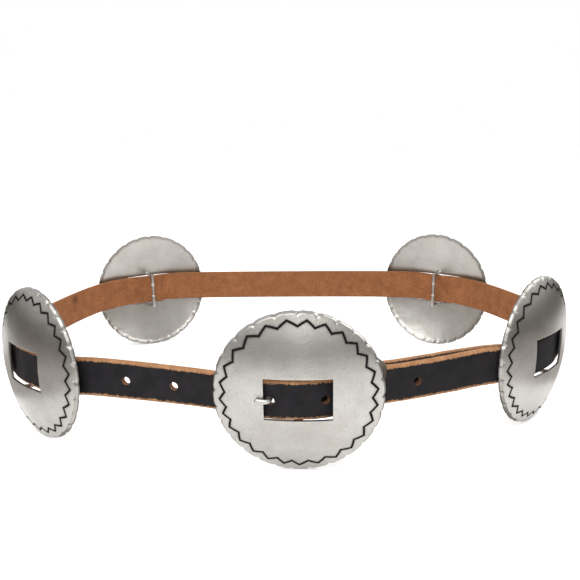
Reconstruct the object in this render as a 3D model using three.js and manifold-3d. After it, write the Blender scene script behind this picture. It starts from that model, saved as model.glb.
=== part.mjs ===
// A concho belt, fastened and standing on the lower rims of its five domed conchos.
// Millimetres, +Z up, the buckle facing -Y. Each concho has its own frame: X across it, -Y out of its face, Z up.
import * as THREE from "three";
import { mergeVertices } from "three/addons/utils/BufferGeometryUtils.js";
import Module from "manifold-3d";

// The loop: from the middle to a side concho's centre, and from the buckle's centre to the back pair's.
const LOOP_HALF_WIDTH = 129;
const LOOP_DEPTH = 206;

// The strap
const STRAP_WIDTH = 19;
const STRAP_THICKNESS = 3;
const EDGE_CHAMFER = 1.2;
const HOLE_DIAMETER = 4.2;
const HOLE_PITCH = 24.5;
const HOLES_EACH_SIDE = 3;
const LAYER_GAP = 2;
const FOLD_LENGTH = 26;
const TIP_TUCK = 11.5;
const TIP_LENGTH = 8;
const TIP_SHARES = [0.4, 0.7, 0.88, 0.97];

// Where the strap's bends begin: beside a rim, beside a window, before the keeper and left of the buckle's
// middle; and how many times its own length the free end's last, closing part goes into the whole lap.
const RIM_MARGIN = 3;
const WINDOW_MARGIN = 2.5;
const LAP_LEAD = 10;
const CREST_SHIFT = 2;
const CLOSING_PARTS = 3;

// How far the strap hangs below its windows beside the buckle's rim.
const RIM_SAG = 1.6;

// A concho's plate
const RIM_RADIUS = 39.5;
const CONCHO_HEIGHT = 10.4;
const PLATE_THICKNESS = 1.5;
const LIP_HEIGHT = 0.8;
const BEVEL_WIDTH = 1.7;
const BEVEL_HEIGHT = 1.7;
const NOTCH_DEPTH = 0.7;
const SCALLOPS = 27;
const WINDOW_WIDTH = 31;
const ZIGZAG_INNER = 33.4;
const ZIGZAG_OUTER = 36;
const GROOVE_WIDTH = 0.95;
const GROOVE_DEPTH = 0.35;
const FRONT_RINGS = [0.4, 0.74];
const BACK_RINGS = [0.66, 0.33];

// The bar behind each window, on two legs
const BAR_SETBACK = 1;
const BAR_RADIUS = 1.2;
const BAR_WAIST_RADIUS = 0.9;
const COLLAR_RADIUS = 1.5;
const COLLAR_WIDTH = 1;
const COLLAR_SPACING = 8;
const LEG_RADIUS = 0.9;

// The tongue, the keeper and the screw that closes the fold
const WIRE_RADIUS = 1.1;
const PRONG_REACH = 12.2;
const TONGUE_OVERLAP = 4;
const KEEPER_WIDTH = 9;
const KEEPER_WALL = 2;
const KEEPER_INSET = 4.5;
const SCREW_REACH = 18;
const SCREW_HEAD_RADIUS = 4;
const SCREW_HEAD_THICKNESS = 1;
const SCREW_SHANK_RADIUS = 2;

// Clearances: between pieces that touch, round the strap in a window, and round the tongue in its slot.
const CLEARANCE = 0.3;
const WINDOW_CLEARANCE = 0.5;
const SLOT_CLEARANCE = 1.1;

// How finely round things are faceted
const STRAP_STEP = 7;
const ROUND_SIDES = 10;
const ARC_STEP = 28;
const EYE_STEP = 26;
const TONGUE_STEPS = 36;

// across: share of LOOP_HALF_WIDTH; deep: share of LOOP_DEPTH; facing: turn of the face from -Y, degrees;
// leanOut: how far the top leans outwards, degrees; before and after: how far the strap's outermost face lies
// behind the rim where it arrives and where it leaves, as shares of CONCHO_HEIGHT.
const CONCHOS = [
  { name: "buckle", across: 0.027, deep: 0, facing: -2.7, leanOut: 5.4, before: 0.34, after: 0.99 },
  { name: "right", across: 1, deep: 0.291, facing: 48.1, leanOut: 1, before: 0.37, after: 0.42 },
  { name: "back_right", across: 0.798, deep: 0.983, facing: 144.3, leanOut: 3.2, before: 0.4, after: 0.53 },
  { name: "back_left", across: -0.771, deep: 1.018, facing: -150.4, leanOut: 2.4, before: 0.38, after: 0.36 },
  { name: "left", across: -1, deep: 0.223, facing: -45.3, leanOut: 0, before: 0.42, after: 0.73 },
];

const silver = new THREE.MeshStandardMaterial({ color: 0xbebab4, metalness: 0.9, roughness: 0.35 });
const polished = new THREE.MeshStandardMaterial({ color: 0xd4d1cb, metalness: 0.95, roughness: 0.2 });
const leather = new THREE.MeshStandardMaterial({ color: 0x2d2b2c, metalness: 0, roughness: 0.75 });
const brownLeather = new THREE.MeshStandardMaterial({ color: 0x4a3a2a, metalness: 0, roughness: 0.8 });

const radians = THREE.MathUtils.degToRad;
const wasm = await Module();
wasm.setup();

// A closed geometry as a solid that can be joined and cut.
function solidOf(geometry) {
  const bare = geometry.clone();
  bare.deleteAttribute("normal");
  bare.deleteAttribute("uv");
  const merged = mergeVertices(bare, 1e-4);
  const mesh = new wasm.Mesh({
    numProp: 3,
    vertProperties: merged.attributes.position.array,
    triVerts: new Uint32Array(merged.index.array),
  });
  return new wasm.Manifold(mesh);
}

// A solid as a geometry with flat faces.
function geometryOf(solid) {
  const mesh = solid.getMesh();
  const geometry = new THREE.BufferGeometry();
  geometry.setAttribute("position", new THREE.BufferAttribute(mesh.vertProperties, 3));
  geometry.setIndex(new THREE.BufferAttribute(mesh.triVerts, 1));
  return geometry;
}

// A closed skin over rings of { turn, point }, where turn runs from 0 to 1 round a ring. Neighbouring rings
// are joined in the order of their turns, so they may differ in count; a ring of one point closes an end.
function skin(rings) {
  const points = rings.flat().map((vertex) => vertex.point);
  const faces = [];
  let start = 0;
  for (let r = 0; r + 1 < rings.length; r++) {
    const [inner, outer] = [rings[r], rings[r + 1]];
    const outerStart = start + inner.length;
    const nextTurn = (ring, i) => (ring.length === 1 || i >= ring.length ? Infinity : (ring[i + 1]?.turn ?? 1));
    let [i, j] = [0, 0];
    while (nextTurn(inner, i) < Infinity || nextTurn(outer, j) < Infinity) {
      const a = start + (i % inner.length);
      const b = outerStart + (j % outer.length);
      if (nextTurn(inner, i) < nextTurn(outer, j)) {
        i += 1;
        faces.push(a, b, start + (i % inner.length));
      } else {
        j += 1;
        faces.push(a, b, outerStart + (j % outer.length));
      }
    }
    start = outerStart;
  }
  const geometry = new THREE.BufferGeometry().setFromPoints(points);
  geometry.setIndex(faces);
  return geometry;
}

// The plate's dome is a cap of a sphere that ends on the bevel's inner edge.
const domeEdge = RIM_RADIUS - BEVEL_WIDTH;
const domeRise = CONCHO_HEIGHT - LIP_HEIGHT - BEVEL_HEIGHT;
const domeRadius = (domeEdge ** 2 + domeRise ** 2) / (2 * domeRise);
const frontAt = (r) => CONCHO_HEIGHT - domeRadius + Math.sqrt(domeRadius ** 2 - r ** 2);
const undersideAt = (r) => frontAt(r) - PLATE_THICKNESS;
const windowHeight = STRAP_WIDTH + 2 * WINDOW_CLEARANCE;
const legReach = windowHeight / 2 + LEG_RADIUS + CLEARANCE / 2;

// The corners of a scallop, as shares of its turn from one notch to the next: the flat between them is its foot.
const SCALLOP_FLAT = [0.25, 0.75];
const footReach = RIM_RADIUS * Math.cos((Math.PI / SCALLOPS) * (SCALLOP_FLAT[1] - SCALLOP_FLAT[0]));

// A ring of a concho's plate: each tooth adds one corner for each share given, at the radius and height given.
function plateRing(shares, radiusOf, heightOf) {
  const ring = [];
  for (let tooth = 0; tooth < SCALLOPS; tooth++) {
    for (const share of shares) {
      const turn = (tooth + share) / SCALLOPS;
      const angle = 2 * Math.PI * turn + Math.PI / 2;
      const radius = radiusOf(share);
      const point = new THREE.Vector3(radius * Math.cos(angle), -heightOf(radius), radius * Math.sin(angle));
      ring.push({ turn, point });
    }
  }
  return ring;
}

// The plate from the crest of its dome out to the notched rim and back under to its crest again.
function plateSolid() {
  const tooth = [0];
  const zigzag = [0, 0.5];
  const scallop = [0, ...SCALLOP_FLAT];
  const line = (share) => (share === 0 ? ZIGZAG_INNER : ZIGZAG_OUTER);
  const rim = (share) => RIM_RADIUS - (share === 0 ? NOTCH_DEPTH : 0);
  const bevelTop = LIP_HEIGHT + BEVEL_HEIGHT;
  const wallFoot = domeEdge - PLATE_THICKNESS / 2;
  const crest = (height) => [{ turn: 0, point: new THREE.Vector3(0, -height, 0) }];
  return solidOf(
    skin([
      crest(frontAt(0)),
      ...FRONT_RINGS.map((share) => plateRing(tooth, () => ZIGZAG_INNER * share, frontAt)),
      plateRing(zigzag, (share) => line(share) - GROOVE_WIDTH / 2, frontAt),
      plateRing(zigzag, line, (r) => frontAt(r) - GROOVE_DEPTH),
      plateRing(zigzag, (share) => line(share) + GROOVE_WIDTH / 2, frontAt),
      plateRing(scallop, (share) => domeEdge - (share === 0 ? NOTCH_DEPTH / 2 : 0), () => bevelTop),
      plateRing(scallop, rim, () => LIP_HEIGHT),
      plateRing(scallop, rim, () => 0),
      plateRing(tooth, () => domeEdge, () => 0),
      plateRing(tooth, () => wallFoot, undersideAt),
      ...BACK_RINGS.map((share) => plateRing(tooth, () => domeEdge * share, undersideAt)),
      crest(undersideAt(0)),
    ]),
  );
}

// The bar stands up behind the window; its waist, between two collars, is the buckle tongue's seat.
function barSolid() {
  const end = legReach + LEG_RADIUS;
  const collarIn = (COLLAR_SPACING - COLLAR_WIDTH) / 2;
  const collarOut = (COLLAR_SPACING + COLLAR_WIDTH) / 2;
  const half = [
    [BAR_WAIST_RADIUS, collarIn],
    [COLLAR_RADIUS, collarIn],
    [COLLAR_RADIUS, collarOut],
    [BAR_RADIUS, collarOut],
    [BAR_RADIUS, end],
    [0, end],
  ];
  const profile = [
    ...half.map(([r, z]) => new THREE.Vector2(r, -z)).reverse(),
    ...half.map(([r, z]) => new THREE.Vector2(r, z)),
  ];
  const bar = new THREE.LatheGeometry(profile, ROUND_SIDES);
  bar.rotateX(Math.PI / 2);
  bar.translate(0, BAR_SETBACK, 0);
  let solid = solidOf(bar);
  const legTop = undersideAt(legReach) + PLATE_THICKNESS / 2;
  for (const side of [-1, 1]) {
    const leg = new THREE.CylinderGeometry(LEG_RADIUS, LEG_RADIUS, BAR_SETBACK + legTop, ROUND_SIDES);
    leg.translate(0, (BAR_SETBACK - legTop) / 2, side * legReach);
    solid = solid.add(solidOf(leg));
  }
  return solid;
}

function conchoGeometry() {
  const window = new THREE.BoxGeometry(WINDOW_WIDTH, 4 * CONCHO_HEIGHT, windowHeight);
  return geometryOf(plateSolid().subtract(solidOf(window)).add(barSolid()));
}

// Conchos stand on the floor: a leaning one touches it with the front or the back edge of its lip.
const belt = new THREE.Group();
const conchoShape = conchoGeometry();
const conchos = CONCHOS.map((row) => {
  const frame = new THREE.Group();
  const lean = radians(row.leanOut);
  const height = footReach * Math.cos(lean) + LIP_HEIGHT * Math.max(0, Math.sin(lean));
  frame.position.set(row.across * LOOP_HALF_WIDTH, row.deep * LOOP_DEPTH, height);
  frame.rotation.set(lean, 0, radians(row.facing), "ZXY");
  const mesh = new THREE.Mesh(conchoShape, silver);
  mesh.name = row.name + "_concho";
  frame.add(mesh);
  belt.add(frame);
  frame.updateMatrixWorld(true);
  return { ...row, frame };
});
const buckle = conchos[0];
const rightConcho = conchos[1];

// A point of the strap's path given in a concho's frame, with the concho's upright as the strap's there.
function pathPoint(concho, x, out, rise = 0) {
  const up = new THREE.Vector3(0, 0, 1).transformDirection(concho.frame.matrixWorld);
  return { point: concho.frame.localToWorld(new THREE.Vector3(x, -out, rise)), up };
}

// The same, given where the strap's outer face lies out from the plane of the rim.
function facePoint(concho, x, outerFace, rise = 0) {
  return pathPoint(concho, x, outerFace - STRAP_THICKNESS / 2, rise);
}

// Where the strap crosses a concho: just outside its rim, under its plate and in its window.
const besideRim = RIM_RADIUS + RIM_MARGIN;
const besideWindow = WINDOW_WIDTH / 2 + WINDOW_MARGIN;
const undersideOverStrap = (x) => undersideAt(Math.hypot(x, STRAP_WIDTH / 2));
const windowEdge = undersideOverStrap(WINDOW_WIDTH / 2);
const rimDrop = (share, layersOver) => -share * CONCHO_HEIGHT - layersOver;

function pathThrough(concho) {
  const shoulder = undersideOverStrap(besideWindow) - PLATE_THICKNESS;
  const lap = concho === rightConcho ? STRAP_THICKNESS + CLEARANCE : 0;
  return [
    facePoint(concho, -besideRim, rimDrop(concho.before, lap)),
    facePoint(concho, -besideWindow, shoulder),
    facePoint(concho, 0, windowEdge + PLATE_THICKNESS / 2),
    facePoint(concho, besideWindow, shoulder),
    facePoint(concho, besideRim, rimDrop(concho.after, 0)),
  ];
}

// The fold lies round the buckle's bar; the strap then leaves straight for the buckle's right rim.
const foldRadius = COLLAR_RADIUS + CLEARANCE + STRAP_THICKNESS / 2;
const leavingOut = rimDrop(buckle.after, STRAP_THICKNESS + LAYER_GAP) - STRAP_THICKNESS / 2;
const toLeaving = new THREE.Vector2(besideRim, leavingOut + BAR_SETBACK);
const foldSlope = Math.atan2(toLeaving.y, toLeaving.x) - Math.asin(foldRadius / toLeaving.length());

// A point of the fold, given along the leaving strap from the bar and square to it, out from the bar.
function foldPoint(along, out) {
  const place = new THREE.Vector2(along, out).rotateAround(new THREE.Vector2(), foldSlope);
  return pathPoint(buckle, place.x, place.y - BAR_SETBACK);
}

function pathOfFold() {
  const closed = foldRadius - STRAP_THICKNESS - CLEARANCE;
  const path = [foldPoint(FOLD_LENGTH, closed), foldPoint(FOLD_LENGTH / 2, closed)];
  for (let angle = 260; angle >= 90; angle -= ARC_STEP) {
    const turn = radians(angle);
    path.push(foldPoint(foldRadius * Math.cos(turn), foldRadius * Math.sin(turn)));
  }
  path.push(foldPoint(FOLD_LENGTH / 2, foldRadius), foldPoint(FOLD_LENGTH, foldRadius));
  path.push(pathPoint(buckle, besideRim, leavingOut, -RIM_SAG));
  return path;
}

// A station of the strap: a place on its middle line with the strap's directions there.
function stationAt(curve, path, place) {
  const i = Math.min(Math.floor(place), path.length - 2);
  const share = place / (path.length - 1);
  const along = curve.getTangent(share);
  const up = path[i].up.clone().lerp(path[i + 1].up, THREE.MathUtils.smoothstep(place - i, 0, 1));
  const out = new THREE.Vector3().crossVectors(along, up).normalize();
  up.crossVectors(out, along).normalize();
  return { point: curve.getPoint(share), along, out, up };
}

// Stations on a smooth line through the path's points, with how far along the strap each one is.
function stationsAlong(path) {
  const curve = new THREE.CatmullRomCurve3(path.map((p) => p.point));
  const stations = [];
  for (let i = 0; i + 1 < path.length; i++) {
    const steps = Math.ceil(path[i].point.distanceTo(path[i + 1].point) / STRAP_STEP);
    for (let k = 0; k < steps; k++) stations.push(stationAt(curve, path, i + k / steps));
  }
  stations.push(stationAt(curve, path, path.length - 1));
  stations[0].travelled = 0;
  for (let i = 1; i < stations.length; i++) {
    const step = stations[i].point.distanceTo(stations[i - 1].point);
    stations[i].travelled = stations[i - 1].travelled + step;
  }
  return stations;
}

// The station of a run where some measure of its stations first reaches a goal.
function stationWhere(run, measure, goal) {
  const i = run.findIndex((station) => measure(station) >= goal);
  const [a, b] = [run[i - 1], run[i]];
  const share = (goal - measure(a)) / (measure(b) - measure(a));
  const blend = (key) => a[key].clone().lerp(b[key], share);
  const [along, up] = [blend("along").normalize(), blend("up").normalize()];
  const out = new THREE.Vector3().crossVectors(along, up).normalize();
  const travelled = THREE.MathUtils.lerp(a.travelled, b.travelled, share);
  return { point: blend("point"), along, out, up, travelled };
}

const acrossOf = (concho) => (station) => concho.frame.worldToLocal(station.point.clone()).x;
const acrossBuckle = acrossOf(buckle);
const acrossRight = acrossOf(rightConcho);

const fold = pathOfFold();
const innerPath = [...fold, ...conchos.slice(1).flatMap(pathThrough)];
const innerStations = stationsAlong(innerPath);
const halfRound = FOLD_LENGTH + (Math.PI * foldRadius) / 2;
const toRightConcho = besideRim + LOOP_HALF_WIDTH;
const travelOf = (station) => station.travelled;
const leavingRun = innerStations.filter((s) => travelOf(s) > halfRound && travelOf(s) < halfRound + toRightConcho);

// The free end goes through the buckle over the fold, then lies on the strap as far as the next concho.
const keeperReach = RIM_RADIUS - KEEPER_INSET - KEEPER_WIDTH / 2;
const overWindow = [
  facePoint(buckle, -besideRim, rimDrop(buckle.before, 0), -RIM_SAG),
  facePoint(buckle, -WINDOW_WIDTH / 2, windowEdge - CLEARANCE * 1.5),
  facePoint(buckle, -CREST_SHIFT, windowEdge + PLATE_THICKNESS),
  facePoint(buckle, WINDOW_WIDTH / 2, windowEdge - WINDOW_MARGIN),
];
const tipReach = RIM_RADIUS - TIP_TUCK + TIP_LENGTH;
const lapStart = keeperReach - LAP_LEAD;
const underLap = leavingRun.filter((s) => acrossBuckle(s) > lapStart && acrossRight(s) < -tipReach - 1);
underLap.push(stationWhere(leavingRun, acrossRight, -tipReach));
const lapPath = underLap.map((station, i) => {
  const toTip = 1 - i / (underLap.length - 1);
  const gap = THREE.MathUtils.lerp(CLEARANCE, LAYER_GAP, Math.min(1, CLOSING_PARTS * toTip));
  return { point: station.point.clone().addScaledVector(station.out, STRAP_THICKNESS + gap), up: station.up };
});
const strapStations = stationsAlong([...innerPath, ...overWindow, ...lapPath]);
const freeRun = strapStations.slice(strapStations.findIndex((s) => s.travelled > innerStations.at(-1).travelled));

// The strap's section at a station: the outer face between its two chamfers, and the square inner face.
function strapRing(station, halfWidth) {
  const [t, w, c] = [STRAP_THICKNESS / 2, halfWidth, EDGE_CHAMFER];
  const outline = [
    [t, w - c],
    [t - c, w],
    [-t, w],
    [-t, -w],
    [t - c, -w],
    [t, c - w],
  ];
  return outline.map(([out, up], i) => ({
    turn: i / outline.length,
    point: station.point.clone().addScaledVector(station.out, out).addScaledVector(station.up, up),
  }));
}

// The whole strap, from the cut end of its fold to its rounded tip.
function strapSolid() {
  const rings = strapStations.map((station) => strapRing(station, STRAP_WIDTH / 2));
  const last = strapStations.at(-1);
  for (const share of TIP_SHARES) {
    const point = last.point.clone().addScaledVector(last.along, share * TIP_LENGTH);
    rings.push(strapRing({ ...last, point }, (STRAP_WIDTH / 2) * Math.sqrt(1 - share ** 2)));
  }
  const tip = last.point.clone().addScaledVector(last.along, TIP_LENGTH * TIP_SHARES.at(-1));
  const start = [{ turn: 0, point: strapStations[0].point }];
  return solidOf(skin([start, ...rings, [{ turn: 0, point: tip }]]));
}

// A punched hole through one layer of the strap at a station.
function holeSolid(station) {
  const length = STRAP_THICKNESS + 2 * CLEARANCE;
  const drill = new THREE.CylinderGeometry(HOLE_DIAMETER / 2, HOLE_DIAMETER / 2, length, ROUND_SIDES);
  const down = new THREE.Vector3().crossVectors(station.along, station.out);
  const place = new THREE.Matrix4().makeBasis(station.along, station.out, down).setPosition(station.point);
  return solidOf(drill.applyMatrix4(place));
}

// The slot at the middle of the fold, where the tongue's eye holds the bar.
const eyeRadius = BAR_WAIST_RADIUS + CLEARANCE + WIRE_RADIUS;
function slotSolid() {
  const reach = foldRadius + STRAP_THICKNESS / 2 + CLEARANCE;
  const right = eyeRadius + WIRE_RADIUS + SLOT_CLEARANCE;
  const slot = new THREE.BoxGeometry(reach + right, 2 * reach, 2 * (WIRE_RADIUS + SLOT_CLEARANCE));
  slot.translate((right - reach) / 2, BAR_SETBACK, 0);
  return solidOf(slot.applyMatrix4(buckle.frame.matrixWorld));
}

function strapGeometry() {
  const prong = stationWhere(freeRun, acrossBuckle, -PRONG_REACH).travelled;
  let solid = strapSolid().subtract(slotSolid());
  for (let k = -HOLES_EACH_SIDE; k <= HOLES_EACH_SIDE; k++) {
    const station = stationWhere(strapStations, travelOf, prong + k * HOLE_PITCH);
    solid = solid.subtract(holeSolid(station));
  }
  const bore = SCREW_SHANK_RADIUS + CLEARANCE;
  const screwHole = new THREE.CylinderGeometry(bore, bore, 2 * STRAP_THICKNESS + 3 * CLEARANCE, ROUND_SIDES);
  screwHole.rotateZ(-foldSlope).translate(screwPlace.x, BAR_SETBACK - screwPlace.y, 0);
  return geometryOf(solid.subtract(solidOf(screwHole.applyMatrix4(buckle.frame.matrixWorld))));
}

// The screw's middle lies between the two layers of the fold.
const screwOut = foldRadius - (STRAP_THICKNESS + CLEARANCE) / 2;
const screwPlace = new THREE.Vector2(SCREW_REACH, screwOut).rotateAround(new THREE.Vector2(), foldSlope);

function screwGeometry() {
  const inner = STRAP_THICKNESS + CLEARANCE * 1.5;
  const outer = inner + SCREW_HEAD_THICKNESS;
  const profile = [
    [0, -outer],
    [SCREW_HEAD_RADIUS, -outer],
    [SCREW_HEAD_RADIUS, -inner],
    [SCREW_SHANK_RADIUS, -inner],
    [SCREW_SHANK_RADIUS, inner],
    [SCREW_HEAD_RADIUS, inner],
    [SCREW_HEAD_RADIUS, outer],
    [0, outer],
  ];
  return new THREE.LatheGeometry(profile.map(([r, y]) => new THREE.Vector2(r, y)), ROUND_SIDES);
}

// The tongue's wire in the buckle's frame: its eye round the bar's waist, its shank under the free end, its
// rise through the prong hole, and its tip over the window's edge on the plate.
function tonguePath() {
  const flat = [];
  for (let angle = -170; angle <= 90; angle += EYE_STEP) {
    const turn = radians(angle);
    flat.push([eyeRadius * Math.cos(turn), eyeRadius * Math.sin(turn) - BAR_SETBACK]);
  }
  const edge = WINDOW_WIDTH / 2;
  const tip = edge + TONGUE_OVERLAP;
  const rest = (r) => frontAt(r) + WIRE_RADIUS + CLEARANCE;
  const shank = eyeRadius - BAR_SETBACK;
  const strapMiddle = windowEdge - STRAP_THICKNESS / 2;
  flat.push([-PRONG_REACH / 2, shank + CLEARANCE]);
  flat.push([2 * WIRE_RADIUS - PRONG_REACH, shank + WIRE_RADIUS]);
  flat.push([-PRONG_REACH, strapMiddle - WIRE_RADIUS]);
  flat.push([-PRONG_REACH - CLEARANCE, strapMiddle + 2 * WIRE_RADIUS]);
  flat.push([-PRONG_REACH - WIRE_RADIUS, rest(edge) - CLEARANCE]);
  flat.push([-edge, rest(edge) + CLEARANCE]);
  flat.push([-tip, rest(tip) + CLEARANCE / 2]);
  return new THREE.CatmullRomCurve3(flat.map(([x, out]) => new THREE.Vector3(x, -out, 0)));
}

function tongueGeometry() {
  const round = new THREE.Shape().absarc(0, 0, WIRE_RADIUS, 0, 2 * Math.PI);
  const sweep = { extrudePath: tonguePath(), steps: TONGUE_STEPS, curveSegments: ROUND_SIDES / 2 };
  return new THREE.ExtrudeGeometry(round, sweep);
}

// The keeper is a leather band round both layers, made with X up, Y out and Z along the strap.
function keeperGeometry() {
  const height = STRAP_WIDTH / 2 + CLEARANCE;
  const depth = STRAP_THICKNESS + LAYER_GAP / 2 + CLEARANCE;
  const rectangle = (shape, h, d) => shape.moveTo(-h, -d).lineTo(h, -d).lineTo(h, d).lineTo(-h, d).closePath();
  const band = rectangle(new THREE.Shape(), height + KEEPER_WALL, depth + KEEPER_WALL);
  band.holes.push(rectangle(new THREE.Path(), height, depth));
  const geometry = new THREE.ExtrudeGeometry(band, { depth: KEEPER_WIDTH, bevelEnabled: false });
  return geometry.translate(0, 0, -KEEPER_WIDTH / 2);
}

function addPiece(name, geometry, material, parent) {
  const mesh = new THREE.Mesh(geometry, material);
  mesh.name = name;
  parent.add(mesh);
  return mesh;
}

addPiece("strap", strapGeometry(), leather, belt);
addPiece("tongue", tongueGeometry(), polished, buckle.frame);

const screw = addPiece("fold_screw", screwGeometry(), silver, buckle.frame);
screw.position.set(screwPlace.x, BAR_SETBACK - screwPlace.y, 0);
screw.rotation.z = -foldSlope;

const keeper = addPiece("keeper", keeperGeometry(), brownLeather, belt);
const keeperStation = stationWhere(leavingRun, acrossBuckle, keeperReach);
const keeperBasis = new THREE.Matrix4().makeBasis(keeperStation.up, keeperStation.out, keeperStation.along);
keeper.quaternion.setFromRotationMatrix(keeperBasis);
keeper.position.copy(keeperStation.point).addScaledVector(keeperStation.out, (STRAP_THICKNESS + LAYER_GAP) / 2);

// The origin is under the middle of the belt's box, on the floor.
const box = new THREE.Box3().setFromObject(belt, true);
const middle = box.getCenter(new THREE.Vector3());
belt.position.set(-middle.x, -middle.y, -box.min.z);
belt.updateMatrixWorld(true);

export default belt;
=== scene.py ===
import math
import bpy
import numpy as np
from mathutils import Matrix, Vector, noise


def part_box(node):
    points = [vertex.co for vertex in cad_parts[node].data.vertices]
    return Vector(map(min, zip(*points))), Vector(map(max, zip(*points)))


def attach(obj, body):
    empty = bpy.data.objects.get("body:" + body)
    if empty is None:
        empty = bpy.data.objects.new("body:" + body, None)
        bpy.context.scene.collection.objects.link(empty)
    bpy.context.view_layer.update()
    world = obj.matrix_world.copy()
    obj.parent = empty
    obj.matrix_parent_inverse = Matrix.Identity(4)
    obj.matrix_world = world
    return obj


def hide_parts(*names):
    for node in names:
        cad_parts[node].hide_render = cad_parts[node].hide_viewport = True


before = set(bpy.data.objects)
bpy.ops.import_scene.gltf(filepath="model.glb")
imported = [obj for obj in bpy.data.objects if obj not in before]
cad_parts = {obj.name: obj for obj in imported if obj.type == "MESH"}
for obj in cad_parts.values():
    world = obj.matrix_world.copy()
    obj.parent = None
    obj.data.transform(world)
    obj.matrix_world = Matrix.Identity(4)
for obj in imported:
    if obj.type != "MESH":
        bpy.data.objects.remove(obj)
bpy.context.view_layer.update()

# The concho plates
# Five identical castings in an antique silver plating, domed by a press, with a slot window for the strap.
# The zigzag is engraved and blackened, and a chiselled notch lies between every two scallops of the rim.
# The teeth were struck by eye: they drift by a few degrees from an even spacing, most on the wearer's right.
MM = 0.001
scallops = 27
rim_radius = 39.5
concho_height = 10.4
plate_thickness = 1.5
lip_height = 0.8
bevel_width = 1.7
bevel_height = 1.7
rim_dip = 0.55
edge_bevel = 0.7
window_width = 31.0
window_height = 20.0
zigzag_inner = 33.4
zigzag_outer = 36.0
line_half_width = 0.6
line_depth = 0.4
edge_round = 0.35
round_from = 23.0
zigzag_from = 30.3
notch_length = 2.4
notch_slope = 0.5
notch_depth = 0.3
cut_floor = 1.0
lip_zone, lip_cut_share = 1.2, 0.6
dent_spacing = 9.0
ripple_spacing = 3.6
front_dents, front_ripples = 0.035, 0.006
back_dents, back_ripples = 0.14, 0.06
chisel_bump, chisel_band = 0.16, 0.12
smooth_rim, dent_fade = 1.2, 3.0
samples_per_scallop = 20

dome_edge = rim_radius - bevel_width
dome_rise = concho_height - lip_height - bevel_height
dome_radius = (dome_edge**2 + dome_rise**2) / (2 * dome_rise)


def front_at(r):
    return concho_height - dome_radius + np.sqrt(dome_radius**2 - r**2)


def underside_at(r):
    return front_at(r) - plate_thickness


ring_size = scallops * samples_per_scallop
ring_share = np.arange(ring_size) / samples_per_scallop % 1.0
even_turn = 360 * np.arange(ring_size) / ring_size
tooth_places = (0, 20, 40, 60, 90, 110, 140, 165, 180, 200, 225, 250, 275, 300, 315, 360)
tooth_drifts = (0, 3.0, 6.3, 7.6, 7.1, 4.2, 3.7, 2.0, 0, 1.2, 2.2, 2.5, 1.5, 1.9, 0.4, 0)
ring_angle = np.radians(90 + even_turn + np.interp(even_turn, tooth_places, tooth_drifts))
zigzag_line = zigzag_inner + (zigzag_outer - zigzag_inner) * (1 - np.abs(2 * ring_share - 1))
from_notch = np.minimum(ring_share, 1 - ring_share)
rim_line = rim_radius - rim_dip * np.clip(1 - from_notch / 0.25, 0, 1) ** 1.3
rim_line *= np.cos(math.pi / scallops * 0.5) / np.cos(
    2 * math.pi / scallops * np.clip(0.5 - from_notch, -0.25, 0.25)
)


def window_line(grown):
    """The radius of the window's outline in each direction, with the window larger all round by grown."""
    across = (window_width / 2 + grown) / np.maximum(np.abs(np.cos(ring_angle)), 1e-6)
    up = (window_height / 2 + grown) / np.maximum(np.abs(np.sin(ring_angle)), 1e-6)
    return np.minimum(across, up)


def between(a, b, share):
    return a * (1 - share) + b * share


def skin_faces(rings, size, closed=False):
    """Quads between rings of points; a closed skin's last ring meets its first, an open one has caps."""
    faces = []
    for k in range(rings if closed else rings - 1):
        a, b = k * size, (k + 1) % rings * size
        for j in range(size):
            n = (j + 1) % size
            faces.append((a + j, b + j, b + n, a + n) if closed else (a + j, a + n, b + n, b + j))
    if not closed:
        faces += [tuple(reversed(range(size))), tuple(range((rings - 1) * size, rings * size))]
    return faces


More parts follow.
